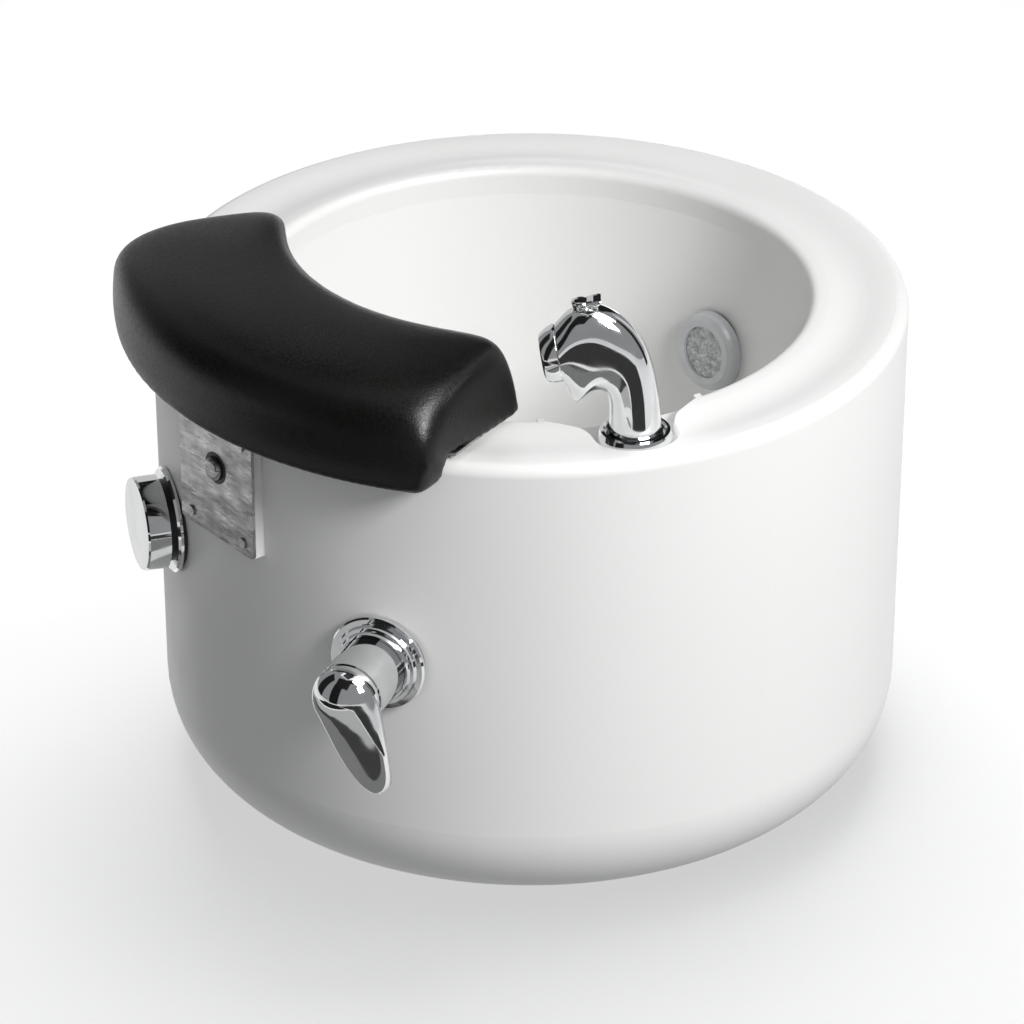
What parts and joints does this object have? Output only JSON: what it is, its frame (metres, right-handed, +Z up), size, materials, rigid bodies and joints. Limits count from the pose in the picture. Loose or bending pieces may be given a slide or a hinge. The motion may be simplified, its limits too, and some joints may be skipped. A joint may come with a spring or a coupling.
{
  "type": "pedicure foot bath",
  "caption": "Round white foot bath with a padded sliding footrest, wall mixer, drain knob, pull-out hand spray and lamp.",
  "frame": {"origin": "on the tub's axis at the floor the rubber feet stand on; the open lower end of the waste pipe is 2 mm above it", "axes": "+Z up along the tub's axis; the padded footrest is on the -Y side, the hand spray on the +X side"},
  "size_m": [0.5498, 0.5849, 0.479],
  "materials": {
    "white_shell": "gloss",
    "chrome": "polished",
    "steel": "satin",
    "black_cushion": "fine grained skin",
    "black_plastic": "matte",
    "grey_plastic": "satin",
    "white_plastic": "matte",
    "clear_lens": "dimpled",
    "seal_rubber": "matte",
    "brass": "plain",
    "hose_black": "braided",
    "circuit_board": "matte",
    "spray_grey": "matte"
  },
  "bodies": {
    "tub": {"casing": "white_shell", "basin": "white_shell", "base_plate": "white_plastic", "casing_screws": "steel", "rubber_feet": "seal_rubber", "basin_supports": "white_plastic", "wall_plate": "steel", "slide_rails": "white_shell", "wall_backing_plate": "steel", "button_collar": "black_plastic", "button_cup": "black_plastic", "mixer_gasket": "seal_rubber", "mixer_escutcheon": "chrome", "mixer_locknut": "brass", "mixer_body": "brass", "mixer_cartridge": "white_plastic", "mixer_sleeve": "chrome", "knob_gasket": "seal_rubber", "knob_escutcheon": "chrome", "drive_housing": "black_plastic", "knob_locknut": "black_plastic", "drain_cable": "hose_black", "waste_seal": "seal_rubber", "waste_flange": "chrome", "waste_locknut": "white_plastic", "waste_body": "white_plastic", "waste_tail_pipe": "white_plastic", "holder_gasket": "seal_rubber", "holder_ring": "chrome", "holder_sleeve": "white_plastic", "holder_locknut": "black_plastic", "handset_hose": "hose_black", "lamp_gasket": "seal_rubber", "lamp_bezel": "grey_plastic", "lamp_body": "grey_plastic", "lamp_led_board": "circuit_board", "lamp_lens": "clear_lens", "lamp_locknut": "black_plastic"},
    "footrest": {"footrest_cushion": "black_cushion", "footrest_insert": "steel", "footrest_bracket": "steel", "bracket_screws": "steel"},
    "release_button": {"release_button": "steel", "button_spring": "steel"},
    "mixer_rotor": {"mixer_rotor": "brass", "lever_pin": "steel"},
    "mixer_lever": {"mixer_lever": "chrome"},
    "drain_knob": {"drain_knob": "chrome", "knob_spindle": "brass", "knob_grub_screw": "steel"},
    "drain_plug": {"drain_plug": "chrome", "plug_seal": "seal_rubber"},
    "hose_tail": {"hose_nut": "brass", "hose_tail": "hose_black", "hose_weight": "steel"},
    "handset": {"handset_body": "chrome", "nozzle_collar": "chrome", "spray_face": "spray_grey", "toggle_pin": "steel"},
    "spray_toggle": {"spray_toggle": "chrome"}
  },
  "joints": [
    {"name": "footrest_slide", "type": "slide", "parent": "tub", "child": "footrest", "axis": [0, 0, 1], "range_m": [0, 0.035]},
    {"name": "button_press", "type": "slide", "parent": "tub", "child": "release_button", "axis": [0, 1, 0], "range_m": [0, 0.003], "stiffness_N_per_m": 800, "springref_m": -0.002},
    {"name": "mixer_turn", "type": "hinge", "parent": "tub", "child": "mixer_rotor", "pos_m": [0.15865, -0.28387, 0.2104], "axis": [0.4879, -0.8729, 0], "range_deg": [-69, 21]},
    {"name": "mixer_tilt", "type": "hinge", "parent": "mixer_rotor", "child": "mixer_lever", "pos_m": [0.15865, -0.28387, 0.2104], "axis": [-0.7975, -0.4457, -0.4067], "range_deg": [0, 20]},
    {"name": "drain_knob_turn", "type": "hinge", "parent": "tub", "child": "drain_knob", "pos_m": [-0.09352, -0.25694, 0.2325], "axis": [-0.342, -0.9397, 0], "range_deg": [0, 90]},
    {"name": "plug_lift", "type": "slide", "parent": "tub", "child": "drain_plug", "axis": [0, 0, 1], "range_m": [0, 0.01001]},
    {"name": "hose_pull", "type": "slide", "parent": "tub", "child": "hose_tail", "axis": [0, 0, 1], "range_m": [0, 0.12]},
    {"name": "handset_swivel", "type": "hinge", "parent": "hose_tail", "child": "handset", "pos_m": [0.21681, -0.07678, 0.377], "axis": [0, 0, 1], "range_deg": [-170, 170]},
    {"name": "toggle_rock", "type": "hinge", "parent": "handset", "child": "spray_toggle", "pos_m": [0.19587, -0.10357, 0.469], "axis": [-0.788, 0.6157, 0], "range_deg": [-10, 10]}
  ],
  "couplings": [
    {"joint": "plug_lift", "follows": "drain_knob_turn", "m_per_rad": 0.0063662}
  ]
}
